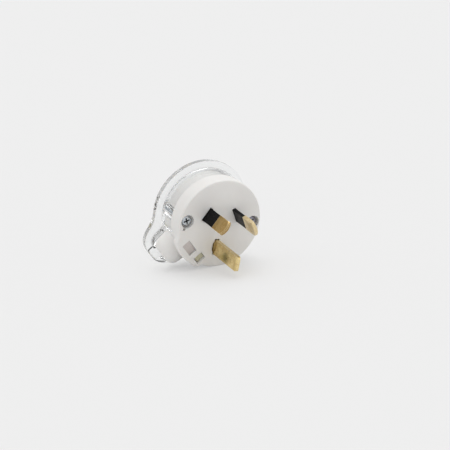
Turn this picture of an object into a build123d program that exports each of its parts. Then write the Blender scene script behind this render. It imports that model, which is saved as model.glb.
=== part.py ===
from build123d import *
import math
import os

# A rewirable three-pin mains plug with a side cord entry, in millimetres.
# Each piece is made in the plug's own frame: the face lies at z = 0, the pins
# point along +Z, the earth pin is towards -Y, and depth is counted backwards
# from the face. At the end everything is laid down as the plug comes to rest.

# Pins
BLADE_W = 6.35
BLADE_T = 1.63
LIVE_AT = 7.92
LIVE_TURN = 60.0
EARTH_AT = 10.31
LIVE_LEN = 17.4
EARTH_LEN = 20.2
TIP_ROUND = 1.4
TIP_BEVEL = 0.42
TIP_BEVEL_RUN = 1.3
LIVE_TIP_ARC = 4.3
LIVE_TIP_BEVEL = 0.4
TAIL_HOLD = 2.4
SLEEVE_WALL = 0.3
SLEEVE_INSET = 0.12
SLEEVE_LEN = 8.7
SLEEVE_SHORT = 0.6
EARTH_SLOT_GAP = 0.3
RELIEF_BULGE = 1.2
RELIEF_DEPTH = 0.9

# Front base
FACE_R = 19.2
FACE_EDGE = 0.6
PLATE_T = 3.0
SKIRT_H = 4.5
SPIGOT_H = 7.0
SPIGOT_WALL = 1.4
BUMP_OUT = 1.7
BUMP_ABOVE = 8.2
BUMP_BELOW = 9.2
BUMP_CORNER = 2.6
BUMP_HOLLOW = 2.0

# Rear cover
BODY_DEPTH = 20.0
COVER_WALL = 1.5
BACK_T = 2.1
FLANGE_OUT = 2.8
FLANGE_T = 3.4
FLANGE_EDGE = 1.1
FLANGE_ROOT = 1.3
NOSE_BRIM_SIDE = 2.5
NOSE_BRIM_END = 2.9
NOSE_CORNER = 8.0
NECK_ROUND = 15.0

# Cord entry: a barrel that leaves the round body between the earth and neutral pins
NOSE_TURN = 45.0
CORD_SET = 1.0
BARREL_WALL = 3.8
BARREL_BACK = 0.1
BARREL_TAPER = 1.1
BARREL_ROUND = 4.0
BARREL_DROP = 1.7
BARREL_OUT = 7.2
MOUTH_FLARE = 0.8
MOUTH_FLARE_RUN = 1.2
THROAT_WALL = 2.6
SADDLE_RUN = 4.2
SADDLE_GAP = 0.4

# Cord clamp: a bar with a tongue at one end and a screw through an ear at the other
CLAMP_W = 3.6
CLAMP_BACK = 0.4
CLAMP_GRIP = 0.6
TONGUE_L = 2.6
TONGUE_T = 2.8
TONGUE_TOP = 1.3
TONGUE_FOOT = 1.0
EAR_R = 2.3
TOOTH_H = 0.5
TOOTH_W = 0.6
CLAMP_SCREW_R = 1.25
CLAMP_SCREW_SET = 1.2
CLAMP_SCREW_LEN = 9.0
CLAMP_HEAD_R = 1.9
CLAMP_HEAD_H = 1.7
CLAMP_HEAD_DOME = 0.5
CLAMP_HEAD_ROOM = 0.9

# Openings in the face over the cord clamp
PAD_WINDOW_L = 3.8
PAD_WINDOW_W = 6.2
PAD_WINDOW_SIDE = 1.0
PAD_WINDOW_EDGE = 0.8
PAD_WINDOW_DEPTH = 1.8
PAD_SHALLOW = 0.3
PAD_DEEP = 1.0
TONGUE_WINDOW_EDGE = 1.4
TONGUE_WINDOW_DEPTH = 2.2

# Terminals
BLOCK_SIDE = 0.62
BLOCK_T = 5.8
BLOCK_H = 8.0
BLOCK_BEVEL = 0.3
TUNNEL_R = 1.6
TUNNEL_FLOOR = 0.4
POCKET_WALL = 1.1
POCKET_H = 6.0
TERMINAL_SCREW_R = 1.5
TERMINAL_SCREW_LEN = 3.9
TERMINAL_HEAD_R = 2.4
TERMINAL_HEAD_H = 1.8
TERMINAL_BACKED_OFF = 1.2
SLOT_W = 0.9
SLOT_DEPTH = 1.0
HEAD_BEVEL = 0.25

# Cover screws, driven in from the face
SCREW_EDGE = 3.6
SCREW_Y = 0.8
SCREW_R = 1.5
SCREW_LEN = 13.5
SCREW_HEAD_R = 2.3
SCREW_HEAD_H = 1.7
SCREW_HEAD_DOME = 0.8
COUNTERBORE_GAP = 0.6
COUNTERBORE_DEPTH = 2.7
NOTCH_W = 1.2
NOTCH_REACH = 4.2
NOTCH_TURN = -74.0
SCREW_HOLE_GAP = 0.25
BOSS_WALL = 1.5
PILLAR_WALL = 1.55
CROSS_W = 0.75
CROSS_LEN = 2.6
CROSS_DEPTH = 1.2

# Clearances
FIT = 0.1
SEAT = 0.02

# Places and sizes that follow from the ones above
SKIRT_DEPTH = PLATE_T + SKIRT_H
SPIGOT_DEPTH = SKIRT_DEPTH + SPIGOT_H
COVER_IN_R = FACE_R - COVER_WALL
SPIGOT_R = COVER_IN_R - FIT
CHAMBER_R = SPIGOT_R - SPIGOT_WALL
FLANGE_R = FACE_R + FLANGE_OUT
FLANGE_FRONT = BODY_DEPTH - FLANGE_T
CAVITY_DEPTH = BODY_DEPTH - BACK_T
TAIL_DEPTH = PLATE_T + TAIL_HOLD
SLEEVE_SUNK = PLATE_T - SLEEVE_SHORT
SLEEVE_W = BLADE_W - 2 * SLEEVE_INSET
SLEEVE_T = BLADE_T - 2 * SLEEVE_INSET
CORE_W = SLEEVE_W - 2 * SLEEVE_WALL
CORE_T = SLEEVE_T - 2 * SLEEVE_WALL
NOSE_DIRECTION = -90.0 - NOSE_TURN
BARREL_R = (BODY_DEPTH - PLATE_T - BARREL_DROP - BARREL_BACK) / 2
CORD_R = BARREL_R - BARREL_WALL
BARREL_REACH = FACE_R + BARREL_OUT
PART_DEPTH = PLATE_T + BARREL_DROP + BARREL_R
CORD_DEPTH = PART_DEPTH + CORD_SET
NOSE_HALF = BARREL_R + NOSE_BRIM_SIDE
NOSE_REACH = BARREL_REACH + NOSE_BRIM_END
THROAT_IN = FACE_R - THROAT_WALL
CHAMBER_HALF = BARREL_R
SADDLE_IN = THROAT_IN - SADDLE_RUN
CLAMP_OUT = THROAT_IN - 4 * FIT
CLAMP_IN = CLAMP_OUT - CLAMP_W
EAR_T = CAVITY_DEPTH - PART_DEPTH - CLAMP_HEAD_H - CLAMP_HEAD_ROOM
EAR_SIDE = CORD_R + CLAMP_SCREW_R + CLAMP_SCREW_SET
EAR_AT = math.sqrt((COVER_IN_R - CLAMP_HEAD_R - 2 * FIT) ** 2 - EAR_SIDE**2)
TONGUE_IN = CLAMP_OUT - TONGUE_L
TONGUE_FAR = CHAMBER_HALF - 2 * FIT
TONGUE_NEAR = TONGUE_FAR - TONGUE_T
BLOCK_W = BLADE_W + 2 * BLOCK_SIDE
BLOCK_END = PLATE_T + BLOCK_H
TUNNEL_AT = TAIL_DEPTH + TUNNEL_FLOOR + TUNNEL_R
BOSS_R = SCREW_R + BOSS_WALL
PILLAR_R = SCREW_R + SCREW_HOLE_GAP + PILLAR_WALL
FAR = 4 * BODY_DEPTH


def on_nose(shape):
    """Turns a shape made along +X, with +Y towards the earth pin, to the cord entry."""
    return Rot(0, 0, NOSE_DIRECTION) * shape


def slab(outline, shallow, deep):
    """An outline in the face's plane, made solid between two depths."""
    return extrude(Pos(0, 0, -deep) * outline, amount=deep - shallow)


def area(x_from, x_to, y_from, y_to):
    """A rectangle between two values along X and two along Y."""
    middle = Pos((x_from + x_to) / 2, (y_from + y_to) / 2)
    return middle * Rectangle(x_to - x_from, y_to - y_from)


def cord_rod(radius, start, end=FAR):
    """A round bar on the cord's own axis, in the nose's frame."""
    bar = Cylinder(radius, end - start, align=(Align.CENTER, Align.CENTER, Align.MIN))
    return Pos(start, 0, -CORD_DEPTH) * Rot(0, 90, 0) * bar


def pin_frame(name):
    """The place of a pin: X across its thickness and outwards, Y along its width."""
    if name == "earth":
        return Rot(0, 0, -90) * Pos(EARTH_AT, 0, 0) * Rot(0, 0, 90)
    angle = 90 - LIVE_TURN if name == "active" else 90 + LIVE_TURN
    return Rot(0, 0, angle) * Pos(LIVE_AT, 0, 0)


def screw_frame(side):
    """The place of a cover screw, side -1 for the left one and 1 for the right one."""
    return Pos(side * (FACE_R - SCREW_EDGE), SCREW_Y, 0)


def ear_frame():
    """The place of the clamp's screw, in the nose's frame."""
    return Pos(EAR_AT, -EAR_SIDE, 0)


def hollow_lead(round_r, corner_x, corner_y, corner_r, hollow_r):
    """The piece that leads a circle at the middle into a corner circle by a hollow arc."""
    between = math.hypot(corner_x, corner_y)
    reach = round_r + hollow_r
    along = (reach**2 - (corner_r + hollow_r) ** 2 + between**2) / (2 * between)
    aside = math.copysign(math.sqrt(reach**2 - along**2), corner_y)
    centre_x = (corner_x * along - corner_y * aside) / between
    centre_y = (corner_y * along + corner_x * aside) / between
    web = make_face(Polyline((0, 0), (corner_x, corner_y), (centre_x, centre_y), close=True))
    return web - Pos(centre_x, centre_y) * Circle(hollow_r) + Pos(corner_x, corner_y) * Circle(corner_r)


def face_outline():
    """The round face, swelled a little over the cord entry."""
    corner_at = FACE_R + BUMP_OUT - BUMP_CORNER
    corners = []
    for corner_y in (-BUMP_ABOVE + BUMP_CORNER, BUMP_BELOW - BUMP_CORNER):
        corners.append((math.sqrt(corner_at**2 - corner_y**2), corner_y))
    far = [(2 * x, 2 * y) for x, y in corners]
    wedge = make_face(Polyline((0, 0), far[0], far[1], close=True))
    outline = Circle(FACE_R + BUMP_OUT) & wedge
    for corner_x, corner_y in corners:
        outline += hollow_lead(FACE_R, corner_x, corner_y, BUMP_CORNER, BUMP_HOLLOW)
    return Circle(FACE_R) + on_nose(outline)


def flange_outline():
    """The finger grip: the round flange, led into the nose's corners by hollow necks."""
    corner_x = NOSE_REACH - NOSE_CORNER
    corner_y = NOSE_HALF - NOSE_CORNER
    outline = area(0, corner_x, -NOSE_HALF, NOSE_HALF) + area(corner_x, NOSE_REACH, -corner_y, corner_y)
    for side in (-1, 1):
        outline += hollow_lead(FLANGE_R, corner_x, side * corner_y, NOSE_CORNER, NECK_ROUND)
    return Circle(FLANGE_R) + on_nose(outline)


def barrel_outline():
    """The cord barrel seen along the pins: it tapers to a rounded end."""
    end_half = BARREL_R - BARREL_TAPER
    sides = [(THROAT_IN, -BARREL_R), (BARREL_REACH, -end_half), (BARREL_REACH, end_half), (THROAT_IN, BARREL_R)]
    outline = make_face(Polyline(*sides, close=True))
    outline = fillet(outline.vertices().sort_by(Axis.X)[-2:], BARREL_ROUND)
    return outline + area(0, THROAT_IN, -BARREL_R, BARREL_R)


def barrel_rod():
    """The same barrel as a turned shape about its own axis."""
    length = BARREL_REACH - THROAT_IN
    rod = Cone(BARREL_R, BARREL_R - BARREL_TAPER, length, align=(Align.CENTER, Align.CENTER, Align.MIN))
    rod = fillet(rod.edges().sort_by(Axis.Z)[-1], BARREL_ROUND)
    root = Cylinder(BARREL_R, SADDLE_RUN, align=(Align.CENTER, Align.CENTER, Align.MAX))
    return Pos(THROAT_IN, 0, -PART_DEPTH) * Rot(0, 90, 0) * (rod + root)


def chamber_outline(gap=0.0):
    """The space inside the cover, in the nose's frame, drawn in by a gap."""
    half = CHAMBER_HALF - gap
    return Circle(COVER_IN_R - gap) + area(0, THROAT_IN - gap, -half, half)


def pocket_walls(name):
    """The raised wall round one terminal, open where its wires go in."""
    inner = Rectangle(BLOCK_T + 2 * FIT, BLOCK_W + 2 * FIT)
    outer = Rectangle(BLOCK_T + 2 * POCKET_WALL, BLOCK_W + 2 * POCKET_WALL)
    gate = Rectangle(2 * TUNNEL_R + 2 * FIT, FAR)
    if name == "earth":
        gate = Rectangle(FAR, 2 * TUNNEL_R + 2 * FIT)
    return pin_frame(name) * slab(outer - inner - gate, PLATE_T, PLATE_T + POCKET_H)


def pin_slot(name):
    """The slot in the face that a pin stands in."""
    gap = EARTH_SLOT_GAP if name == "earth" else FIT
    slot = slab(Rectangle(BLADE_T + 2 * gap, BLADE_W + 2 * gap), 0, PLATE_T)
    return pin_frame(name) * slot


def earth_relief():
    """A shallow hollow each side of the earth pin, as long as the pin is wide."""
    half = BLADE_W / 2
    reach = BLADE_T / 2 + RELIEF_BULGE
    near_side = ThreePointArc((0, -half), (reach, 0), (0, half))
    far_side = ThreePointArc((0, half), (-reach, 0), (0, -half))
    lens = make_face(near_side + far_side)
    return pin_frame("earth") * slab(lens, 0, RELIEF_DEPTH)


def cord_saddle():
    """The front half of the cord barrel and the block behind it that the clamp closes on."""
    run = area(SADDLE_IN, FAR, -BARREL_R, BARREL_R) & Circle(FACE_R)
    block = area(SADDLE_IN, FAR, -EAR_SIDE - EAR_R - 2 * FIT, EAR_SIDE + EAR_R) & Circle(SPIGOT_R)
    barrel = barrel_rod() & slab(area(SADDLE_IN, FAR, -FAR, FAR), 0, PART_DEPTH)
    return on_nose(slab(run, PLATE_T, PART_DEPTH) + slab(block, PLATE_T, PART_DEPTH) + barrel)


def cord_way():
    """The round way that the cord takes out of the barrel, flared at its mouth."""
    flare = Cone(CORD_R, CORD_R + MOUTH_FLARE, MOUTH_FLARE_RUN, align=(Align.CENTER, Align.CENTER, Align.MAX))
    flare = Pos(BARREL_REACH, 0, -CORD_DEPTH) * Rot(0, 90, 0) * flare
    relief = cord_rod(CORD_R + SADDLE_GAP, SADDLE_IN - FIT, THROAT_IN)
    mouth = cord_rod(CORD_R + MOUTH_FLARE, BARREL_REACH)
    return on_nose(cord_rod(CORD_R, THROAT_IN, BARREL_REACH) + relief + flare + mouth)


def pad_area(gap=0.0):
    """The wider opening in the face, in the nose's frame, drawn in by a gap."""
    outer = FACE_R - PAD_WINDOW_EDGE
    half = PAD_WINDOW_W / 2 - gap
    return area(outer - PAD_WINDOW_L + gap, outer - gap, -PAD_WINDOW_SIDE - half, -PAD_WINDOW_SIDE + half)


def cord_pad():
    """The grey pad that shows in the wider opening; its face slopes down across it."""
    low = -PAD_WINDOW_SIDE - PAD_WINDOW_W / 2
    high = low + PAD_WINDOW_W
    floor = -PAD_WINDOW_DEPTH + SEAT
    section = Polyline((low, floor), (high, floor), (high, -PAD_DEEP), (low, -PAD_SHALLOW), close=True)
    wedge = Pos(FACE_R, 0, 0) * extrude(Plane.YZ * make_face(section), amount=-FACE_R)
    return on_nose(wedge & slab(pad_area(FIT), 0, PAD_WINDOW_DEPTH))


def tongue_slot():
    """The slot for the clamp's tongue, with a wider opening in the face over it."""
    slot = area(TONGUE_IN - FIT, CLAMP_OUT + FIT, TONGUE_NEAR - FIT, TONGUE_FAR + FIT)
    side = 2 * FIT
    window = area(TONGUE_IN - FIT, FACE_R - TONGUE_WINDOW_EDGE, TONGUE_NEAR - side, TONGUE_FAR + side)
    return on_nose(slab(slot, 0, PART_DEPTH) + slab(window, 0, TONGUE_WINDOW_DEPTH))


def clamp_outline(gap=0.0):
    """The clamp's bar and ear seen along the pins, grown by a gap."""
    bar = area(CLAMP_IN - gap, CLAMP_OUT + gap, -EAR_SIDE, TONGUE_FAR + gap)
    outline = (bar + ear_frame() * Circle(EAR_R + gap)) & chamber_outline(2 * FIT - gap)
    return outline - Rot(0, 0, -NOSE_DIRECTION) * screw_frame(-1) * Circle(BOSS_R + 2 * FIT - gap)


def clamp_screw_tip():
    return PART_DEPTH + EAR_T - CLAMP_SCREW_LEN


def front_base():
    plate = slab(face_outline(), 0, PLATE_T)
    plate = fillet(plate.faces().sort_by(Axis.Z)[-1].edges(), FACE_EDGE)
    skirt = slab(Circle(FACE_R) - Circle(CHAMBER_R), PLATE_T, SKIRT_DEPTH)
    spigot = slab(Circle(SPIGOT_R) - Circle(CHAMBER_R), SKIRT_DEPTH, SPIGOT_DEPTH)
    gap_half = BARREL_R + FIT
    spigot -= on_nose(slab(area(0, FAR, -gap_half, gap_half), PART_DEPTH, SPIGOT_DEPTH))
    base = plate + skirt + spigot + cord_saddle()
    inside = Circle(CHAMBER_R)
    for name in ("active", "neutral", "earth"):
        base += pocket_walls(name) & slab(inside, PLATE_T, SPIGOT_DEPTH)
    for side in (-1, 1):
        place = screw_frame(side)
        base += place * slab(Circle(PILLAR_R), PLATE_T, SKIRT_DEPTH) & slab(Circle(FACE_R), 0, SKIRT_DEPTH)
        base -= place * slab(Circle(BOSS_R + 2 * FIT), SKIRT_DEPTH, SPIGOT_DEPTH)
        base -= place * slab(Circle(SCREW_R + SCREW_HOLE_GAP), 0, SKIRT_DEPTH)
        seat = Circle(SCREW_HEAD_R + COUNTERBORE_GAP)
        seat += Rot(0, 0, -90 + side * (90 + NOTCH_TURN)) * area(0, NOTCH_REACH, -NOTCH_W / 2, NOTCH_W / 2)
        base -= place * slab(seat, 0, COUNTERBORE_DEPTH)
    for name in ("active", "neutral", "earth"):
        base -= pin_slot(name)
        base -= pin_frame(name) * slab(Rectangle(BLOCK_T + 2 * FIT, BLOCK_W + 2 * FIT), PLATE_T, SPIGOT_DEPTH)
    base -= on_nose(slab(clamp_outline(FIT), PART_DEPTH, SPIGOT_DEPTH))
    base -= on_nose(ear_frame() * slab(Circle(CLAMP_SCREW_R + SEAT), clamp_screw_tip() - FIT, PART_DEPTH))
    pad_window = on_nose(slab(pad_area(), 0, PAD_WINDOW_DEPTH))
    return base - earth_relief() - cord_way() - pad_window - tongue_slot()


def rear_cover():
    flange = slab(flange_outline(), FLANGE_FRONT, BODY_DEPTH)
    rims = flange.faces().sort_by(Axis.Z)[0].edges() + flange.faces().sort_by(Axis.Z)[-1].edges()
    flange = fillet(rims, FLANGE_EDGE)
    lower = Circle(FACE_R) + on_nose(barrel_outline())
    wall = slab(Circle(FACE_R), SKIRT_DEPTH, PART_DEPTH)
    gap_half = BARREL_R + FIT
    wall -= on_nose(slab(area(0, FAR, -gap_half, gap_half), SKIRT_DEPTH, PART_DEPTH))
    cover = flange + wall + slab(lower, PART_DEPTH, FLANGE_FRONT)
    guide = (Pos(0, 0, -FLANGE_FRONT) * lower).edges()
    roots = [e for e in cover.edges() if any(g.distance_to(e @ 0.5) < SEAT for g in guide)]
    roots = [e for e in roots if abs((e @ 0).Z - (e @ 1).Z) < SEAT]
    cover = fillet(roots, FLANGE_ROOT)
    cover -= slab(Circle(COVER_IN_R), SKIRT_DEPTH, CAVITY_DEPTH)
    cover -= on_nose(slab(chamber_outline(), PART_DEPTH, CAVITY_DEPTH))
    boss_depth = SKIRT_DEPTH + FIT
    for side in (-1, 1):
        place = screw_frame(side)
        cover += place * slab(Circle(BOSS_R), boss_depth, CAVITY_DEPTH) & slab(Circle(FACE_R), 0, CAVITY_DEPTH)
        cover -= place * slab(Circle(SCREW_R + SEAT), SKIRT_DEPTH, screw_tip() + FIT)
    return cover - cord_way()


def live_blade():
    """A live pin with an arched, bevelled tip; it is thinner under its sleeve."""
    arch_at = LIVE_LEN - LIVE_TIP_ARC
    sides_end = arch_at + math.sqrt(LIVE_TIP_ARC**2 - (BLADE_W / 2) ** 2)
    arch = Pos(0, 0, arch_at) * Rot(0, 90, 0) * Cylinder(LIVE_TIP_ARC, BLADE_T)
    tip = arch & slab(Rectangle(BLADE_T, BLADE_W), -FAR, -sides_end)
    body = slab(Rectangle(BLADE_T, BLADE_W), -sides_end, TAIL_DEPTH) + tip
    body = chamfer(body.edges().filter_by(GeomType.CIRCLE), LIVE_TIP_BEVEL)
    waste = Rectangle(2 * BLADE_T, 2 * BLADE_W) - Rectangle(CORE_T, CORE_W)
    return body - slab(waste, -SLEEVE_LEN, SLEEVE_SUNK)


def earth_blade():
    """The earth pin with a rounded tip, bevelled on both broad sides."""
    body = slab(Rectangle(BLADE_T, BLADE_W), -EARTH_LEN, TAIL_DEPTH)
    body = fillet(body.edges().filter_by(Axis.X).sort_by(Axis.Z)[-2:], TIP_ROUND)
    half = BLADE_T / 2
    for side in (-1, 1):
        root = (side * half, EARTH_LEN - TIP_BEVEL_RUN)
        wedge = Polyline(root, (side * (half - TIP_BEVEL), EARTH_LEN), (side * half, EARTH_LEN), close=True)
        body -= extrude(Plane.XZ * make_face(wedge), amount=BLADE_W, both=True)
    return body


def sleeve():
    """The insulation moulded round the root of a live pin."""
    return slab(Rectangle(SLEEVE_T, SLEEVE_W) - Rectangle(CORE_T, CORE_W), -SLEEVE_LEN, SLEEVE_SUNK)


def terminal(name):
    """A brass block on the pin's tail, with a cross tunnel for the wires."""
    body = slab(Rectangle(BLOCK_T, BLOCK_W), PLATE_T, BLOCK_END)
    body = chamfer(body.faces().sort_by(Axis.Z)[0].edges(), BLOCK_BEVEL)
    body -= slab(Rectangle(BLADE_T + 2 * SEAT, BLADE_W + 2 * SEAT), PLATE_T, TAIL_DEPTH + SEAT)
    turn = Rot(0, 90, 0) if name == "earth" else Rot(90, 0, 0)
    body -= Pos(0, 0, -TUNNEL_AT) * turn * Cylinder(TUNNEL_R, 2 * BLOCK_W)
    body -= slab(Circle(TERMINAL_SCREW_R + SEAT), TUNNEL_AT, BLOCK_END)
    return body


def terminal_screw():
    """A slotted cheese-head screw, backed off the wire tunnel."""
    seat = BLOCK_END + TERMINAL_BACKED_OFF
    top = seat + TERMINAL_HEAD_H
    head = slab(Circle(TERMINAL_HEAD_R), seat, top)
    head = chamfer(head.faces().sort_by(Axis.Z)[0].edges(), HEAD_BEVEL)
    head -= slab(Rectangle(SLOT_W, FAR), top - SLOT_DEPTH, top)
    return head + slab(Circle(TERMINAL_SCREW_R), seat - TERMINAL_SCREW_LEN, seat)


def cross_screw(shank_r, shank_len, head_r, head_h, dome):
    """A pan-head screw with a cross recess: its head stands on z = 0 and faces +Z."""
    head = fillet(slab(Circle(head_r), -head_h, 0).faces().sort_by(Axis.Z)[-1].edges(), dome)
    share = head_r / SCREW_HEAD_R
    long = CROSS_LEN * share
    wide = CROSS_W * share
    cross = Rectangle(long, wide) + Rectangle(wide, long)
    head -= slab(cross, -head_h, CROSS_DEPTH * share - head_h)
    return head + slab(Circle(shank_r), 0, shank_len)


def screw_tip():
    return COUNTERBORE_DEPTH + SCREW_LEN


def cover_screw(side):
    screw = cross_screw(SCREW_R, SCREW_LEN, SCREW_HEAD_R, SCREW_HEAD_H, SCREW_HEAD_DOME)
    return screw_frame(side) * Pos(0, 0, -COUNTERBORE_DEPTH) * screw


def cord_clamp():
    """A bar over the cord, with a tongue into the base at one end and a screwed ear."""
    ear_back = PART_DEPTH + EAR_T
    bar = slab(clamp_outline(), PART_DEPTH, CAVITY_DEPTH - CLAMP_BACK)
    bar -= slab(area(0, FAR, -FAR, -EAR_SIDE + CLAMP_HEAD_R + 2 * FIT), ear_back, CAVITY_DEPTH)
    bar -= cord_rod(CORD_R - CLAMP_GRIP, 0)
    for share in (0.25, 0.75):
        at = CLAMP_IN + share * CLAMP_W - TOOTH_W / 2
        outer = cord_rod(CORD_R - CLAMP_GRIP + FIT, at, at + TOOTH_W)
        tooth = outer - cord_rod(CORD_R - CLAMP_GRIP - TOOTH_H, at, at + TOOTH_W)
        bar += tooth & slab(area(0, FAR, -FAR, FAR), PART_DEPTH, CAVITY_DEPTH)
    tongue = slab(area(TONGUE_IN, CLAMP_OUT, TONGUE_NEAR, TONGUE_FAR), TONGUE_TOP, PART_DEPTH)
    foot = area(TONGUE_IN, CLAMP_OUT + TONGUE_FOOT, TONGUE_NEAR, TONGUE_FAR)
    tongue += slab(foot, TONGUE_TOP, TONGUE_WINDOW_DEPTH - FIT)
    return on_nose(bar + tongue - ear_frame() * slab(Circle(CLAMP_SCREW_R + SEAT), PART_DEPTH, ear_back))


def clamp_screw():
    screw = cross_screw(CLAMP_SCREW_R, CLAMP_SCREW_LEN, CLAMP_HEAD_R, CLAMP_HEAD_H, CLAMP_HEAD_DOME)
    return on_nose(ear_frame() * Pos(0, 0, -PART_DEPTH - EAR_T) * Rot(180, 0, 0) * screw)


def pieces():
    """Every piece in the plug's own frame, by name."""
    made = {
        "front_base": front_base(),
        "rear_cover": rear_cover(),
        "cord_pad": cord_pad(),
        "cord_clamp": cord_clamp(),
        "cord_clamp_screw": clamp_screw(),
        "left_cover_screw": cover_screw(-1),
        "right_cover_screw": cover_screw(1),
    }
    for name in ("active", "neutral", "earth"):
        place = pin_frame(name)
        made[name + "_terminal"] = place * terminal(name)
        made[name + "_terminal_screw"] = place * terminal_screw()
        if name == "earth":
            made["earth_pin"] = place * earth_blade()
        else:
            made[name + "_pin"] = place * live_blade()
            made[name + "_sleeve"] = place * sleeve()
    return made


def resting_place():
    """Lies the plug on the rim of its flange and nose and on the edge of its face.

    Seen along the pins, the surface touches the flange's circle and the nose's corner
    circle. The pins then tip down until the smaller rim of the face touches too.
    """
    corner = Vector(NOSE_REACH - NOSE_CORNER, NOSE_HALF - NOSE_CORNER)
    corner_turn = math.degrees(math.atan2(corner.Y, corner.X))
    contact_turn = math.degrees(math.acos((FLANGE_R - NOSE_CORNER) / corner.length))
    down = NOSE_DIRECTION + corner_turn + contact_turn
    rise = (FLANGE_R - FLANGE_EDGE) - (FACE_R - FACE_EDGE)
    run = FLANGE_FRONT + FLANGE_EDGE - FACE_EDGE
    tip = math.atan2(rise, run) + math.asin((FLANGE_EDGE - FACE_EDGE) / math.hypot(rise, run))
    print("turned so that", round(down, 2), "degrees is down, and tipped by", round(math.degrees(tip), 2))
    return Rot(90 + math.degrees(tip), 0, 0) * Rot(0, 0, -90 - down)


def main():
    turn = resting_place()
    turned = {name: turn * piece for name, piece in pieces().items()}
    box = Compound([solid for piece in turned.values() for solid in piece.solids()]).bounding_box()
    middle = box.center()
    shift = Pos(-middle.X, -middle.Y, -box.min.Z)
    print("moved by", tuple(round(v, 3) for v in shift.position), "to a box of", box.size)
    os.makedirs("parts", exist_ok=True)
    for name, piece in turned.items():
        export_step(shift * piece, f"parts/{name}.step")


main()
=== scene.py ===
# %% [markdown]
# # A rewirable mains plug, lying on its side
# The solids of the plug are already made and packed. This lesson loads them, gives each
# one the finish of the real material, and adds what a solid does not carry: the turned
# threads of the screws, which show through the clear cover, and their rounded heads.

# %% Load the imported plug
import math
import bpy
from mathutils import Matrix, Vector


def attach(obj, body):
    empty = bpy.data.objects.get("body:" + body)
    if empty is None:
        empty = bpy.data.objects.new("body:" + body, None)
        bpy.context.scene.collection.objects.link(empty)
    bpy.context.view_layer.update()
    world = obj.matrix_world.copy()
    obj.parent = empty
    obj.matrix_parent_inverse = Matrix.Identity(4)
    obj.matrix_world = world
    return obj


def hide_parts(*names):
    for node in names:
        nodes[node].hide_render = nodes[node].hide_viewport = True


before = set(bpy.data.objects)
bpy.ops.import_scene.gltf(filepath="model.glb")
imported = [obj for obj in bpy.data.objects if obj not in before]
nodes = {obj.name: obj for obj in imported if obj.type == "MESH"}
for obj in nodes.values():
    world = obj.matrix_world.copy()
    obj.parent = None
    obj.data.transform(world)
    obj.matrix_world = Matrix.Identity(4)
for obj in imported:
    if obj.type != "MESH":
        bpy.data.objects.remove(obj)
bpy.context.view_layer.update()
MM = 0.001


# %% [markdown]
# ## Camera
# The plug is seen from the pin side, from the left and a little above. A long lens from
# 0.63 m keeps the round face from bulging. The camera leans by a few degrees, as it does
# when it is held by hand, so its turn has three parts.

# %% Camera
CAMERA_PLACE = (-0.271708, -0.543, 0.177134)
CAMERA_TURN = [math.radians(a) for a in (75.3006, 2.5666, -27.7321)]
LENS = 120.0
SENSOR_WIDTH = 36.0
NEAREST_SEEN = 0.05
FARTHEST_SEEN = 20.0
bpy.ops.object.camera_add(location=CAMERA_PLACE, rotation=CAMERA_TURN)
camera = bpy.context.object
camera.name = "photo_camera"
camera.data.lens = LENS
camera.data.sensor_width = SENSOR_WIDTH
camera.data.clip_start = NEAREST_SEEN
camera.data.clip_end = FARTHEST_SEEN
bpy.context.scene.camera = camera
bpy.context.scene.view_settings.view_transform = "Standard"
print("camera distance", round(Vector(CAMERA_PLACE).length, 3))

# %% [markdown]
# ## Material helpers
# Every finish is a Principled shader with a few nodes in front of it. Patterns read Object
# coordinates, in metres, so a grain keeps its size on every piece. What is the same all
# over a surface is set on the shader's own socket. A noise pattern's values lie mostly
# between 0.3 and 0.7, so these two are taken as its ends.

# %% Material helpers
PATTERN_LOW = 0.3
PATTERN_HIGH = 0.7
PATTERN_ROUGHNESS = 0.55


def new_finish(name, **sockets):
    """A material with its Principled shader's sockets set, and its nodes to hand."""
    finish = bpy.data.materials.new(name)
    finish.use_nodes = True
    tree = finish.node_tree
    shader = tree.nodes["Principled BSDF"]
    for socket, value in sockets.items():
        shader.inputs[socket.replace("_", " ")].default_value = value
    return finish, tree, shader


def noise(tree, scale, detail=3.0, stretch=None):
    """A noise pattern on Object coordinates. Scale counts the grains in a metre."""
    place = tree.nodes.new("ShaderNodeTexCoord")
    pattern = tree.nodes.new("ShaderNodeTexNoise")
    pattern.inputs["Scale"].default_value = scale
    pattern.inputs["Detail"].default_value = detail
    pattern.inputs["Roughness"].default_value = PATTERN_ROUGHNESS
    source = place.outputs["Object"]
    if stretch:
        mapping = tree.nodes.new("ShaderNodeMapping")
        mapping.inputs["Scale"].default_value = stretch
        tree.links.new(source, mapping.inputs["Vector"])
        source = mapping.outputs["Vector"]
    tree.links.new(source, pattern.inputs["Vector"])
    return pattern.outputs["Fac"]


def ramp(tree, factor, *stops):
    """Turns a pattern's value into a colour through stops of (place, colour)."""
    node = tree.nodes.new("ShaderNodeValToRGB")
    while len(node.color_ramp.elements) < len(stops):
        node.color_ramp.elements.new(0.5)
    for element, (place, colour) in zip(node.color_ramp.elements, stops):
        element.position = place
        element.color = (*colour, 1.0)
    tree.links.new(factor, node.inputs["Fac"])
    return node.outputs["Color"]


def two_tone(tree, factor, dark, light):
    """Goes from a dark colour to a light one over a pattern's usual values."""
    return ramp(tree, factor, (PATTERN_LOW, dark), (PATTERN_HIGH, light))


def remap(tree, value, before, after=(0.0, 1.0), smooth=False):
    """Stretches one range of numbers over another one, and holds at its ends."""
    node = tree.nodes.new("ShaderNodeMapRange")
    if smooth:
        node.interpolation_type = "SMOOTHSTEP"
    for socket, number in zip(("From Min", "From Max", "To Min", "To Max"), (*before, *after)):
        node.inputs[socket].default_value = number
    tree.links.new(value, node.inputs["Value"])
    return node.outputs["Result"]


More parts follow.
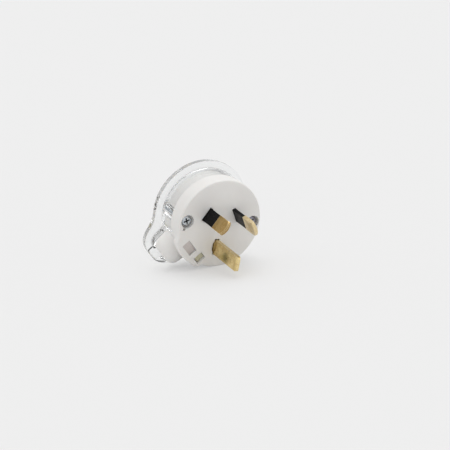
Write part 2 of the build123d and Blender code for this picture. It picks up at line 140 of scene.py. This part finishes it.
def spread(tree, factor, low, high):
    """Spreads a pattern's usual values over a range of numbers."""
    return remap(tree, factor, (PATTERN_LOW, PATTERN_HIGH), (low, high))


def bump(tree, shader, factor, height):
    """Raises the surface by a pattern, by a height in metres."""
    node = tree.nodes.new("ShaderNodeBump")
    node.inputs["Strength"].default_value = 1.0
    node.inputs["Distance"].default_value = height
    tree.links.new(factor, node.inputs["Height"])
    tree.links.new(node.outputs["Normal"], shader.inputs["Normal"])


def dress(node, finish):
    """Gives a CAD node its finish."""
    slots = nodes[node].material_slots
    for slot in slots:
        slot.material = finish
    if not slots:
        nodes[node].data.materials.append(finish)
    print(node, "wears", finish.name)


# %% [markdown]
# ## White base
# The base is moulded in an opaque white nylon with a slightly warm tone. The face has a
# fine spark-eroded grain, so its gloss is broken up, and a little light goes into the
# plastic before it comes out again.

# %% White base
white, tree, shader = new_finish(
    "white_moulded", IOR=1.5, Subsurface_Weight=0.12, Subsurface_Scale=0.0008)
shader.inputs["Subsurface Radius"].default_value = (1.0, 0.8, 0.65)
cloud = noise(tree, scale=90.0, detail=4.0)
tree.links.new(
    two_tone(tree, cloud, (0.80, 0.782, 0.76), (0.835, 0.822, 0.80)),
    shader.inputs["Base Color"])
grain = noise(tree, scale=5200.0, detail=2.0)
tree.links.new(spread(tree, grain, low=0.34, high=0.5), shader.inputs["Roughness"])
bump(tree, shader, grain, height=0.000006)
dress("front_base", white)

# %% [markdown]
# ## Clear cover
# The back cover is clear polycarbonate. It bends light as glass does, so the shader's
# transmission is full and its index is that of the plastic. Very shallow flow marks from
# the mould keep the long reflections from being perfectly straight. A renderer gives up on
# light that bounces many times inside a clear solid, and draws it black. So a ray that has
# bounced a few times goes straight on, through a see-through shader with a faint tint. The
# same shader lets the lamp's light reach what lies behind the plastic.


# %% Helpers for mixing
def largest(tree, first, *others):
    """The largest of several values."""
    for other in others:
        node = tree.nodes.new("ShaderNodeMath")
        node.operation = "MAXIMUM"
        tree.links.new(first, node.inputs[0])
        tree.links.new(other, node.inputs[1])
        first = node.outputs[0]
    return first


def mix_surfaces(tree, factor, first, second):
    """Goes from one shader to another by a factor, and makes that the finish."""
    node = tree.nodes.new("ShaderNodeMixShader")
    tree.links.new(factor, node.inputs["Fac"])
    tree.links.new(first, node.inputs[1])
    tree.links.new(second, node.inputs[2])
    tree.links.new(node.outputs["Shader"], tree.nodes["Material Output"].inputs["Surface"])


# %% Clear cover
BOUNCES_KEPT = 2
BOUNCES_ALL = 4
CLEAR_TINT = (0.88, 0.88, 0.88)
clear, tree, shader = new_finish(
    "clear_moulded", Transmission_Weight=1.0, IOR=1.5, Roughness=0.02)
flow = noise(tree, scale=160.0, detail=2.0)
tree.links.new(
    two_tone(tree, flow, (0.955, 0.965, 0.965), (0.975, 0.98, 0.98)),
    shader.inputs["Base Color"])
bump(tree, shader, flow, height=0.00002)
rays = tree.nodes.new("ShaderNodeLightPath").outputs
deep = remap(tree, rays["Ray Depth"], (BOUNCES_KEPT, BOUNCES_ALL))
see_through = tree.nodes.new("ShaderNodeBsdfTransparent")
tint = ramp(tree, deep, (0.0, (1.0, 1.0, 1.0)), (1.0, CLEAR_TINT))
tree.links.new(tint, see_through.inputs["Color"])
straight_on = largest(tree, deep, rays["Is Shadow Ray"], rays["Is Diffuse Ray"])
mix_surfaces(tree, straight_on, shader.outputs["BSDF"], see_through.outputs["BSDF"])
dress("rear_cover", clear)

# %% [markdown]
# ## Brass pins and terminals
# The pins are cut from drawn brass bar. Drawing leaves fine lines along the length, and
# handling leaves cloudy darker places where the bright skin has dulled. Each push into a
# socket rubs the edges bright again, and the Bevel node finds those edges: there its
# normal differs from the true one. Each pin has its own pair of tones. The neutral pin and
# the terminals get a brown far darker than brass, which is a painted reflection of the
# shaded face that the blades mirror. The earth pin has one olive patch near its middle.

# %% Brass helpers
EDGE_WIDTH = 0.00035
EDGE_SAMPLES = 4
FLAT_LIKENESS = 0.995
EDGE_LIKENESS = 0.9
DULL_BELOW = 0.32
BRIGHT_ABOVE = 0.62
RUBBED_BRASS = (0.86, 0.72, 0.46)
OLIVE = (0.42, 0.34, 0.14)
EARTH_PATCH = (0.0003, -0.0108, 0.0066)
PATCH_SIZE = 0.0033
PATCH_CORE = 0.25


def vector_maths(tree, operation, first, second):
    """One step of vector arithmetic, on a socket and on a second one or three numbers."""
    node = tree.nodes.new("ShaderNodeVectorMath")
    node.operation = operation
    tree.links.new(first, node.inputs[0])
    if isinstance(second, tuple):
        node.inputs[1].default_value = second
    else:
        tree.links.new(second, node.inputs[1])
    return node.outputs


def worn_edges(tree, width):
    """1 along a piece's edges, and 0 on its flat faces."""
    rounded = tree.nodes.new("ShaderNodeBevel")
    rounded.samples = EDGE_SAMPLES
    rounded.inputs["Radius"].default_value = width
    true = tree.nodes.new("ShaderNodeNewGeometry")
    likeness = vector_maths(
        tree, "DOT_PRODUCT", rounded.outputs["Normal"], true.outputs["Normal"])
    return remap(tree, likeness["Value"], (FLAT_LIKENESS, EDGE_LIKENESS))


def blend_colours(tree, factor, first, second):
    """Goes from the first colour to the second by a factor. Each is a socket or three numbers."""
    node = tree.nodes.new("ShaderNodeMix")
    node.data_type = "RGBA"
    tree.links.new(factor, node.inputs["Factor"])
    for socket, colour in (("A", first), ("B", second)):
        if isinstance(colour, tuple):
            node.inputs[socket].default_value = (*colour, 1.0)
        else:
            tree.links.new(colour, node.inputs[socket])
    return node.outputs["Result"]


def near(tree, place, size):
    """1 at a place, fading to 0 at a distance of size, with a soft edge."""
    coordinates = tree.nodes.new("ShaderNodeTexCoord")
    distance = vector_maths(tree, "DISTANCE", coordinates.outputs["Object"], place)
    return remap(tree, distance["Value"], (size, PATCH_CORE * size), smooth=True)


def brass_finish(name, dark, light, patch=None):
    """Drawn brass between two tones, with rubbed edges and, if asked for, one olive patch."""
    brass, tree, shader = new_finish(name, Metallic=1.0)
    lines = noise(tree, scale=1500.0, detail=2.0, stretch=(1.0, 0.06, 1.0))
    dull = noise(tree, scale=230.0, detail=3.0)
    colour = ramp(tree, dull, (DULL_BELOW, dark), (BRIGHT_ABOVE, light))
    if patch:
        colour = blend_colours(tree, near(tree, *patch), colour, OLIVE)
    colour = blend_colours(tree, worn_edges(tree, EDGE_WIDTH), colour, RUBBED_BRASS)
    tree.links.new(colour, shader.inputs["Base Color"])
    tree.links.new(spread(tree, dull, low=0.34, high=0.2), shader.inputs["Roughness"])
    bump(tree, shader, lines, height=0.000004)
    return brass


# %% Brass
# Painted reflection: these dark brown tones stand for the shaded face mirrored in the brass.
brass = brass_finish("shaded_brass", (0.32, 0.20, 0.065), (0.45, 0.31, 0.125))
pale_brass = brass_finish("pale_brass", (0.66, 0.52, 0.28), RUBBED_BRASS)
patch = (EARTH_PATCH, PATCH_SIZE)
earth_brass = brass_finish("earth_brass", (0.62, 0.46, 0.20), (0.84, 0.67, 0.33), patch)
for name in ("neutral_pin", "active_terminal", "neutral_terminal", "earth_terminal"):
    dress(name, brass)
dress("active_pin", pale_brass)
dress("earth_pin", earth_brass)

# %% [markdown]
# ## Black sleeves
# The two live pins carry black nylon sleeves. They are smooth with faint lines along the
# pin, and show soft light along their edges.

# %% Black sleeves
black, tree, shader = new_finish("black_sleeve", IOR=1.5, Specular_IOR_Level=0.07)
streak = noise(tree, scale=2600.0, detail=2.0, stretch=(1.0, 0.08, 1.0))
tree.links.new(
    two_tone(tree, streak, (0.002, 0.002, 0.002), (0.009, 0.008, 0.008)),
    shader.inputs["Base Color"])
tree.links.new(spread(tree, streak, low=0.24, high=0.36), shader.inputs["Roughness"])
bump(tree, shader, streak, height=0.000006)
for name in ("active_sleeve", "neutral_sleeve"):
    dress(name, black)

# %% [markdown]
# ## Zinc-plated screws and the nylon clamp
# The screws are steel with a bright zinc plating, faintly blue. Their zinc is darker than
# bright plating, which is a painted reflection of the darker things the heads mirror. The
# right cover screw gets a duller and darker zinc, which is painted shade, and the driver's
# recesses get the darkest finish, partly dirt and partly painted shade, so there are three
# zinc finishes. The cord clamp is left in the natural colour of nylon, a greenish ivory
# that lets a little light in.

# %% Zinc
zinc, tree, shader = new_finish("zinc_plated", Metallic=1.0)
spangle = noise(tree, scale=1700.0, detail=3.0)
# Painted reflection: zinc tones darker than bright plating, for the dark things the heads mirror.
tree.links.new(
    two_tone(tree, spangle, (0.42, 0.46, 0.50), (0.64, 0.68, 0.72)),
    shader.inputs["Base Color"])
tree.links.new(spread(tree, spangle, low=0.2, high=0.34), shader.inputs["Roughness"])
bump(tree, shader, spangle, height=0.000006)
# Painted shade: a duller, darker copy of the zinc for the right cover screw.
shaded_zinc, tree, shader = new_finish("shaded_zinc", Metallic=1.0, Roughness=0.4)
tree.links.new(
    two_tone(tree, noise(tree, scale=1500.0), (0.20, 0.20, 0.23), (0.36, 0.35, 0.40)),
    shader.inputs["Base Color"])
# Dirt and painted shade: the dark finish inside the drivers' recesses.
recess_dirt_and_shade, tree, shader = new_finish("recess_dirt_and_shade", Metallic=0.6, Roughness=0.55)
tree.links.new(
    two_tone(tree, noise(tree, scale=2100.0), (0.08, 0.085, 0.09), (0.22, 0.23, 0.24)),
    shader.inputs["Base Color"])
SCREW_NODES = ("left_cover_screw", "right_cover_screw", "cord_clamp_screw",
               "active_terminal_screw", "neutral_terminal_screw", "earth_terminal_screw")
for name in SCREW_NODES:
    dress(name, zinc)

# %% Nylon
nylon, tree, shader = new_finish(
    "natural_nylon", IOR=1.52, Subsurface_Weight=0.3, Subsurface_Scale=0.0012)
shader.inputs["Subsurface Radius"].default_value = (1.0, 0.9, 0.6)
fleck = noise(tree, scale=900.0, detail=3.0)
tree.links.new(
    two_tone(tree, fleck, (0.56, 0.54, 0.37), (0.66, 0.63, 0.46)),
    shader.inputs["Base Color"])
tree.links.new(spread(tree, fleck, low=0.3, high=0.45), shader.inputs["Roughness"])
bump(tree, shader, fleck, height=0.00001)
dress("cord_clamp", nylon)

# %% [markdown]
# ## Grey pad
# The wider opening in the face shows a pad of a mauve-grey plastic, whose grey is partly
# painted shade for the shade inside the opening. Its face slopes, so one side lies deeper,
# and that side is painted darker as shade. The painted shade is a value that grows along
# one direction, which turns the colour from pale to dark.

# %% Grey pad
# Painted shade: the pad darkens towards its deeper side.
SHADE_FROM = (-0.0125, 0.0, 0.0100)
SHADE_ALONG = (0.72, 0.0, -0.69)
SHADE_REACH = 0.0062
SHADED_GREY = (0.42, 0.38, 0.36)
grey, tree, shader = new_finish("grey_pad", IOR=1.5)
speck = noise(tree, scale=2400.0, detail=3.0)
coordinates = tree.nodes.new("ShaderNodeTexCoord")
offset = vector_maths(tree, "SUBTRACT", coordinates.outputs["Object"], SHADE_FROM)
along = vector_maths(tree, "DOT_PRODUCT", offset["Vector"], SHADE_ALONG)
painted_shade = remap(tree, along["Value"], (0.0, SHADE_REACH))
# Painted shade in part: the pad's grey is darker than the white base.
unshaded_grey = two_tone(tree, speck, (0.58, 0.53, 0.51), (0.68, 0.63, 0.61))
shaded_pad_colour = blend_colours(tree, painted_shade, unshaded_grey, SHADED_GREY)
tree.links.new(shaded_pad_colour, shader.inputs["Base Color"])
tree.links.new(spread(tree, speck, low=0.5, high=0.65), shader.inputs["Roughness"])
bump(tree, shader, speck, height=0.00001)
dress("cord_pad", grey)

# %% [markdown]
# ## Threaded screws
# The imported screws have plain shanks, which is enough to hold the plug together. The real
# ones are turned with a thread, and the clear cover shows it. A thread is one tooth's
# outline swept round and up, so the Screw modifier makes it from a short line of five
# points. The line is drawn as by hand: a plane is merged to a single point, and the point
# is extruded step by step. The ends are then cut square and filled.

# %% The plug's own frame
TURNED_DOWN = math.radians(-80.22)
TIPPED = math.radians(9.32)
MOVED_BY = Vector((2.306, -2.268, 18.857)) * MM
laid_down = (Matrix.Translation(MOVED_BY) @ Matrix.Rotation(math.pi / 2 + TIPPED, 4, "X")
             @ Matrix.Rotation(-math.pi / 2 - TURNED_DOWN, 4, "Z"))
print("the pins point towards", [round(v, 3) for v in laid_down.to_3x3() @ Vector((0, 0, 1))])


# %% Helpers for making pieces
def deselect():
    """Leaves edit mode, with no object selected."""
    if bpy.context.object and bpy.context.object.mode == "EDIT":
        bpy.ops.object.mode_set(mode="OBJECT")
    bpy.ops.object.select_all(action="DESELECT")


def edit(piece, kind="VERT"):
    """Opens a piece in edit mode with nothing selected."""
    deselect()
    bpy.context.view_layer.objects.active = piece
    piece.select_set(True)
    bpy.ops.object.mode_set(mode="EDIT")
    bpy.ops.mesh.select_mode(type=kind)
    bpy.ops.mesh.select_all(action="DESELECT")


def pick(piece, kind, rule):
    """Selects the vertices, edges or faces that a rule says yes to."""
    bpy.ops.object.mode_set(mode="OBJECT")
    for part in getattr(piece.data, kind):
        part.select = bool(rule(part))
    bpy.ops.object.mode_set(mode="EDIT")


def apply_all(piece):
    """Applies every modifier of a piece, in order."""
    deselect()
    bpy.context.view_layer.objects.active = piece
    piece.select_set(True)
    for modifier in list(piece.modifiers):
        bpy.ops.object.modifier_apply(modifier=modifier.name)


def combine(piece, other, operation):
    """Joins or cuts a piece by another one, which is used up."""
    modifier = piece.modifiers.new("combine", "BOOLEAN")
    modifier.operation = operation
    modifier.solver = "EXACT"
    modifier.object = other
    apply_all(piece)
    bpy.data.objects.remove(other, do_unlink=True)


# %% One thread
THREAD_PITCH = 0.7 * MM
THREAD_DEPTH = 0.3 * MM
THREAD_STEPS = 32
FLANK_SHARE = 0.4
FLAT_SHARE = 0.1
MERGE_WITHIN = 0.01 * MM


def thread(radius, length):
    """A threaded shank from z = 0 down to z = -length, closed at both ends."""
    turns = math.ceil(length / THREAD_PITCH) + 2
    root = radius - THREAD_DEPTH
    bottom = -length - THREAD_PITCH
    deselect()
    bpy.ops.mesh.primitive_plane_add(size=MM, location=(0, 0, 0))
    shank = bpy.context.object
    bpy.ops.object.mode_set(mode="EDIT")
    bpy.ops.mesh.select_all(action="SELECT")
    bpy.ops.mesh.merge(type="CENTER")
    bpy.ops.transform.translate(value=(root, 0, bottom))
    for out, share in ((THREAD_DEPTH, FLANK_SHARE), (0, FLAT_SHARE),
                       (-THREAD_DEPTH, FLANK_SHARE), (0, FLAT_SHARE)):
        step = (out, 0, share * THREAD_PITCH)
        bpy.ops.mesh.extrude_region_move(TRANSFORM_OT_translate={"value": step})
    bpy.ops.object.mode_set(mode="OBJECT")
    sweep = shank.modifiers.new("sweep", "SCREW")
    sweep.axis = "Z"
    sweep.screw_offset = THREAD_PITCH
    sweep.iterations = turns
    sweep.steps = THREAD_STEPS
    sweep.render_steps = THREAD_STEPS
    apply_all(shank)
    for place, upward in ((0.0, True), (-length, False)):
        edit(shank)
        bpy.ops.mesh.select_all(action="SELECT")
        bpy.ops.mesh.remove_doubles(threshold=MERGE_WITHIN)
        bpy.ops.mesh.select_all(action="SELECT")
        bpy.ops.mesh.bisect(plane_co=(0, 0, place), plane_no=(0, 0, 1), use_fill=True,
                            clear_outer=upward, clear_inner=not upward)
    bpy.ops.mesh.select_all(action="SELECT")
    bpy.ops.mesh.normals_make_consistent(inside=False)
    bpy.ops.object.mode_set(mode="OBJECT")
    return shank


# %% [markdown]
# ## Screw heads
# A pan head starts as a cylinder. The top face's edge is bevelled to a soft dome, and the
# cross recess is cut by two tapered blades, as the driver's own tip is tapered.

# %% Heads
RECESS_LONG = 2.9 * MM
RECESS_WIDE = 0.7 * MM
RECESS_DEEP = 1.25 * MM
RECESS_TAPER = 0.42
CROSS_TURNS = (math.radians(24), math.radians(114))
CUT_ABOVE = 0.1 * MM
BELOW_FLOOR = 0.02 * MM
BELOW_TOP = 0.03 * MM
HEAD_SIDES = 64
TOP_SHARE = 0.9
DOME_STEPS = 8
SMOOTH_ANGLE = math.radians(35)
COVER_HEAD_R = 2.3 * MM


def round_head(radius, height, dome):
    """A head that stands on z = 0, with its top edge rounded."""
    deselect()
    bpy.ops.mesh.primitive_cylinder_add(
        vertices=HEAD_SIDES, radius=radius, depth=height, location=(0, 0, height / 2))
    head = bpy.context.object
    bpy.ops.object.transform_apply(location=True)
    edit(head, "EDGE")
    points = head.data.vertices
    pick(head, "edges", lambda e: all(points[v].co.z > TOP_SHARE * height for v in e.vertices))
    bpy.ops.mesh.bevel(offset=dome, segments=DOME_STEPS, profile=0.5, affect="EDGES")
    bpy.ops.object.mode_set(mode="OBJECT")
    return head


def recess_blade(share, top, turn):
    """One blade of the driver's tip, narrower at its lower end and a little proud at the top."""
    middle = top - RECESS_DEEP * share / 2
    deselect()
    bpy.ops.mesh.primitive_cube_add(size=1.0, location=(0, 0, middle), rotation=(0, 0, turn))
    blade = bpy.context.object
    blade.scale = (RECESS_LONG * share, RECESS_WIDE * share, RECESS_DEEP * share)
    bpy.ops.object.transform_apply(location=True, rotation=True, scale=True)
    edit(blade)
    pick(blade, "vertices", lambda v: v.co.z < middle)
    bpy.ops.transform.resize(value=(RECESS_TAPER, RECESS_TAPER, 1.0), center_override=(0, 0, 0))
    pick(blade, "vertices", lambda v: v.co.z > middle)
    bpy.ops.transform.translate(value=(0, 0, CUT_ABOVE))
    bpy.ops.object.mode_set(mode="OBJECT")
    return blade


def darken_recess(screw, head_h, depth, reach):
    """Gives the faces inside the driver's recess the dark finish, which is dirt and painted shade.
    """
    if not screw.data.materials:
        screw.data.materials.append(zinc)
    screw.data.materials.append(recess_dirt_and_shade)
    for face in screw.data.polygons:
        inside = head_h - depth - BELOW_FLOOR < face.center.z < head_h - BELOW_TOP
        if inside and face.center.xy.length < reach:
            face.material_index = 1


def finish_screw(screw, name, node, place):
    """Moves a finished screw to its place, and lets it stand for the plain one."""
    screw.name = name
    screw.data.name = name
    deselect()
    bpy.context.view_layer.objects.active = screw
    screw.select_set(True)
    bpy.ops.object.shade_smooth_by_angle(angle=SMOOTH_ANGLE)
    screw.data.transform(place)
    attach(screw, "root")
    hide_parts(node)
    print(name, "has", len(screw.data.polygons), "faces")


def copy_of(piece, mesh):
    """A copy of a piece, with its own copy of a mesh."""
    twin = piece.copy()
    twin.data = mesh.copy()
    bpy.context.collection.objects.link(twin)
    return twin


def cross_screw(shank_r, shank_len, head_r, head_h, dome):
    """A pan-head screw: the head stands on z = 0 and faces up, and its cross suits its size."""
    share = head_r / COVER_HEAD_R
    screw = round_head(head_r, head_h, dome)
    for turn in CROSS_TURNS:
        combine(screw, recess_blade(share, head_h, turn), "DIFFERENCE")
    combine(screw, thread(shank_r, shank_len), "UNION")
    darken_recess(screw, head_h, RECESS_DEEP * share, 0.5 * RECESS_LONG * share)
    return screw


# %% Cover screws
COVER_SCREW_X = 15.6 * MM
COVER_SCREW_Y = 0.8 * MM
COVER_SCREW_SEAT = -2.7 * MM
COVER_SHANK_R = 1.5 * MM
COVER_SHANK_LEN = 13.5 * MM
COVER_HEAD_H = 1.7 * MM
COVER_DOME = 0.8 * MM
RIGHT_SCREW_TURN = 0.6
left_screw = cross_screw(COVER_SHANK_R, COVER_SHANK_LEN, COVER_HEAD_R, COVER_HEAD_H, COVER_DOME)
right_screw = copy_of(left_screw, left_screw.data)
for screw, side, sign, turn in (
        (left_screw, "left", -1, 0.0), (right_screw, "right", 1, RIGHT_SCREW_TURN)):
    place = laid_down @ Matrix.Translation((sign * COVER_SCREW_X, COVER_SCREW_Y, COVER_SCREW_SEAT))
    turned = place @ Matrix.Rotation(turn, 4, "Z")
    finish_screw(screw, side + "_threaded_cover_screw", side + "_cover_screw", turned)
# Painted shade: the right cover screw wears the darker zinc.
right_screw.data.materials[0] = shaded_zinc

# %% [markdown]
# The clamp's screw is the same kind, smaller, and driven in from the back. The terminal
# screws have flat slotted heads: a cylinder with a bevelled edge and one straight cut. Two
# of them are copies of the finished third one, so they also stand for its plain screw.

# %% Clamp screw
NOSE_TURN = math.radians(-135)
CLAMP_SCREW_AT = Vector((14.293, -6.25, -15.3)) * MM
CLAMP_SHANK_R = 1.25 * MM
CLAMP_SHANK_LEN = 9.0 * MM
CLAMP_HEAD_R = 1.9 * MM
CLAMP_HEAD_H = 1.7 * MM
CLAMP_DOME = 0.5 * MM
UPSIDE_DOWN = Matrix.Rotation(math.pi, 4, "X")
clamp_screw = cross_screw(CLAMP_SHANK_R, CLAMP_SHANK_LEN, CLAMP_HEAD_R, CLAMP_HEAD_H, CLAMP_DOME)
place = (laid_down @ Matrix.Rotation(NOSE_TURN, 4, "Z") @ Matrix.Translation(CLAMP_SCREW_AT)
         @ UPSIDE_DOWN)
finish_screw(clamp_screw, "threaded_clamp_screw", "cord_clamp_screw", place)

# %% Terminal screws
TERMINAL_HEAD_R = 2.4 * MM
TERMINAL_HEAD_H = 1.8 * MM
TERMINAL_DOME = 0.25 * MM
TERMINAL_SHANK_R = 1.5 * MM
TERMINAL_SHANK_LEN = 3.9 * MM
SLOT_WIDE = 0.8 * MM
SLOT_DEEP = 1.0 * MM
SLOT_REACH = 0.97 * TERMINAL_HEAD_R
TERMINAL_SEAT = -12.2 * MM
PIN_PLACES = {"active": (7.92, 30.0), "neutral": (7.92, 150.0), "earth": (10.31, -90.0)}


def slotted_screw():
    """A cheese-head screw with one slot."""
    screw = round_head(TERMINAL_HEAD_R, TERMINAL_HEAD_H, TERMINAL_DOME)
    deselect()
    bpy.ops.mesh.primitive_cube_add(size=1.0, location=(0, 0, TERMINAL_HEAD_H))
    cutter = bpy.context.object
    cutter.scale = (SLOT_WIDE, 3 * TERMINAL_HEAD_R, 2 * SLOT_DEEP)
    bpy.ops.object.transform_apply(location=True, rotation=True, scale=True)
    combine(screw, cutter, "DIFFERENCE")
    combine(screw, thread(TERMINAL_SHANK_R, TERMINAL_SHANK_LEN), "UNION")
    darken_recess(screw, TERMINAL_HEAD_H, SLOT_DEEP, SLOT_REACH)
    return screw


active_screw = slotted_screw()
unplaced = active_screw.data.copy()
for name, (out, angle) in PIN_PLACES.items():
    screw = active_screw if name == "active" else copy_of(active_screw, unplaced)
    place = (laid_down @ Matrix.Rotation(math.radians(angle), 4, "Z")
             @ Matrix.Translation((out * MM, 0, TERMINAL_SEAT)) @ UPSIDE_DOWN)
    finish_screw(screw, name + "_threaded_terminal_screw", name + "_terminal_screw", place)

# %% [markdown]
# ## Floor and light
# The floor is one wide pale sheet. All lines of sight end on it, so it is the background
# too. A very wide soft light stands above the plug, a little behind it and to the right,
# and the rest comes evenly from all round, which leaves the face in a gentle shade. How
# bright floor and sky look is set apart from how much light they give. A real room is
# darker near the horizon than overhead. The clear plastic bends some lines of sight that
# way, and the darker band is what draws the fine lines in it.

# %% Floor
FLOOR_SIZE = 8.0
PAPER = (0.825, 0.825, 0.825, 1.0)
PAPER_LIT = (0.85, 0.85, 0.85, 1.0)
PAPER_GLOW = 0.4


def seen_rays(tree):
    """1 for the rays of the camera, of reflections and of clear plastic, and 0 for the rest."""
    rays = tree.nodes.new("ShaderNodeLightPath").outputs
    return largest(
        tree, rays["Is Camera Ray"], rays["Is Glossy Ray"], rays["Is Transmission Ray"])


def spread_seen(tree, unseen_value, seen_value):
    """One value for the rays that are seen, and another for the rest."""
    return remap(tree, seen_rays(tree), (0.0, 1.0), (unseen_value, seen_value))


deselect()
bpy.ops.mesh.primitive_plane_add(size=FLOOR_SIZE, location=(0, 0, 0))
floor = bpy.context.object
floor.name = "floor"
paper, tree, shader = new_finish("pale_paper", Roughness=0.9, Specular_IOR_Level=0.1)
shader.inputs["Base Color"].default_value = PAPER
glow = tree.nodes.new("ShaderNodeEmission")
glow.inputs["Color"].default_value = PAPER_LIT
mix_surfaces(
    tree, spread_seen(tree, 0.0, PAPER_GLOW), shader.outputs["BSDF"], glow.outputs["Emission"])
floor.data.materials.append(paper)
print("floor", FLOOR_SIZE, "m wide")

# %% Sky
WORLD_STRENGTH = 0.77
WORLD_SEEN = 0.95
HORIZON_SEEN = 0.05
HORIZON_TOP = 0.8
world = bpy.data.worlds.new("soft_room")
bpy.context.scene.world = world
world.use_nodes = True
tree = world.node_tree
sky = tree.nodes["Background"]
sky.inputs["Color"].default_value = (1.0, 1.0, 1.0, 1.0)
direction = tree.nodes.new("ShaderNodeTexCoord")
height = tree.nodes.new("ShaderNodeSeparateXYZ")
tree.links.new(direction.outputs["Generated"], height.inputs["Vector"])
horizon = remap(
    tree, height.outputs["Z"], (0.0, HORIZON_TOP), (HORIZON_SEEN, WORLD_SEEN), smooth=True)
rays = tree.nodes.new("ShaderNodeLightPath")
seen = tree.nodes.new("ShaderNodeMix")
tree.links.new(rays.outputs["Is Transmission Ray"], seen.inputs["Factor"])
tree.links.new(spread_seen(tree, WORLD_STRENGTH, WORLD_SEEN), seen.inputs["A"])
tree.links.new(horizon, seen.inputs["B"])
tree.links.new(seen.outputs["Result"], sky.inputs["Strength"])
print("sky strength", WORLD_STRENGTH)

# %% Lamp
SUN_STRENGTH = 0.9
SUN_TURN = (math.radians(-5), math.radians(11), 0)
SUN_WIDTH = math.radians(50)
bpy.ops.object.light_add(type="SUN", rotation=SUN_TURN)
top_light = bpy.context.object
top_light.name = "top_light"
top_light.data.energy = SUN_STRENGTH
top_light.data.angle = SUN_WIDTH
print("lamp strength", SUN_STRENGTH)
